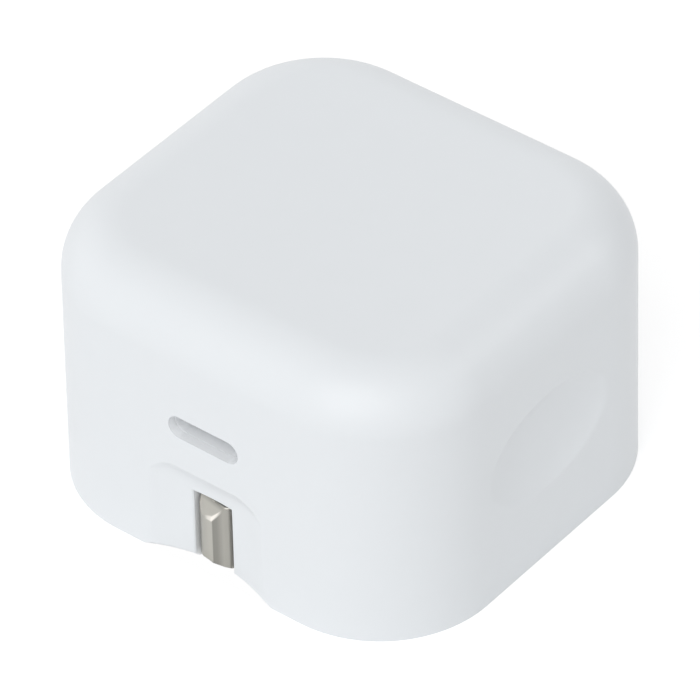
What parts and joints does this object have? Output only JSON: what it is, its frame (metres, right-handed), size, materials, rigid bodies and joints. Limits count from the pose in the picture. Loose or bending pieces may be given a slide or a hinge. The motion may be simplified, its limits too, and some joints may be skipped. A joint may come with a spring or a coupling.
{
  "type": "power adapter",
  "caption": "Compact rounded wall power adapter with a USB-C socket and a three-pin plug that folds flat into its base.",
  "frame": {"origin": "centre of the adapter's outline on the plug face, the flat side that it stands on", "axes": "+Z from the plug face up through the housing, -Y towards the socket side, +X along the width"},
  "size_m": [0.0476, 0.045, 0.0305],
  "materials": {
    "white_housing": "satin white moulding with a soft sheen",
    "white_plate": "fine matt white moulding",
    "grey_frame": "matt grey moulding",
    "ivory_mechanism": "smooth ivory acetal",
    "nickel_pin": "satin nickel plating",
    "black_sleeve": "black insulating sleeve",
    "bright_steel": "bright steel",
    "contact_brass": "bright spring brass",
    "tongue_plastic": "pale moulded tongue",
    "green_board": "green glass-fibre board",
    "dark_ferrite": "matt dark ferrite",
    "bobbin_plastic": "black bobbin moulding",
    "copper_winding": "enamelled copper winding",
    "capacitor_sleeve": "dark shrink sleeve",
    "filter_yellow": "yellow box moulding",
    "dark_moulding": "black component moulding",
    "safety_blue": "blue ceramic disc coating",
    "barrier_film": "pale insulating film",
    "spreader_aluminium": "plain rolled aluminium",
    "pad_silicone": "soft grey gap pad"
  },
  "bodies": {
    "housing": {"housing_shell": "white_housing", "pin_plate": "white_plate", "mechanism_frame": "grey_frame", "frame_screw_1": "bright_steel", "frame_screw_2": "bright_steel", "frame_screw_3": "bright_steel", "frame_screw_4": "bright_steel", "detent_spring": "bright_steel", "earth_axle": "bright_steel", "live_contact": "contact_brass", "neutral_contact": "contact_brass", "usb_shell": "bright_steel", "usb_tongue": "tongue_plastic", "main_board": "green_board", "transformer_core": "dark_ferrite", "transformer_bobbin": "bobbin_plastic", "transformer_winding": "copper_winding", "choke_core": "dark_ferrite", "choke_winding_1": "copper_winding", "choke_winding_2": "copper_winding", "bulk_capacitor_1": "capacitor_sleeve", "bulk_capacitor_2": "capacitor_sleeve", "output_capacitor_1": "capacitor_sleeve", "output_capacitor_2": "capacitor_sleeve", "filter_capacitor": "filter_yellow", "input_fuse": "dark_moulding", "bridge_rectifier": "dark_moulding", "feedback_coupler": "dark_moulding", "power_switch_chip": "dark_moulding", "output_rectifier_chip": "dark_moulding", "safety_capacitor": "safety_blue", "insulating_barrier": "barrier_film", "heat_spreader": "spreader_aluminium", "thermal_pad": "pad_silicone"},
    "earth_pin_assembly": {"earth_carrier": "ivory_mechanism", "earth_pin": "nickel_pin"},
    "line_pin_assembly": {"pin_yoke": "ivory_mechanism", "live_pin": "nickel_pin", "neutral_pin": "nickel_pin", "live_sleeve": "black_sleeve", "neutral_sleeve": "black_sleeve"},
    "slider": {"drive_slider": "ivory_mechanism"}
  },
  "joints": [
    {"name": "earth_pin_fold", "type": "hinge", "parent": "housing", "child": "earth_pin_assembly", "pos_m": [0, 0.0091, 0.008], "axis": [1, 0, 0], "range_deg": [0, 90]},
    {"name": "line_pin_fold", "type": "hinge", "parent": "housing", "child": "line_pin_assembly", "pos_m": [0, -0.00743, 0.0046], "axis": [1, 0, 0], "range_deg": [-90, 0]},
    {"name": "rack_slide", "type": "slide", "parent": "housing", "child": "slider", "axis": [0, 1, 0], "range_m": [0, 0.00628]}
  ],
  "couplings": [
    {"joint": "line_pin_fold", "follows": "earth_pin_fold", "ratio": -1},
    {"joint": "rack_slide", "follows": "earth_pin_fold", "m_per_rad": 0.004}
  ]
}
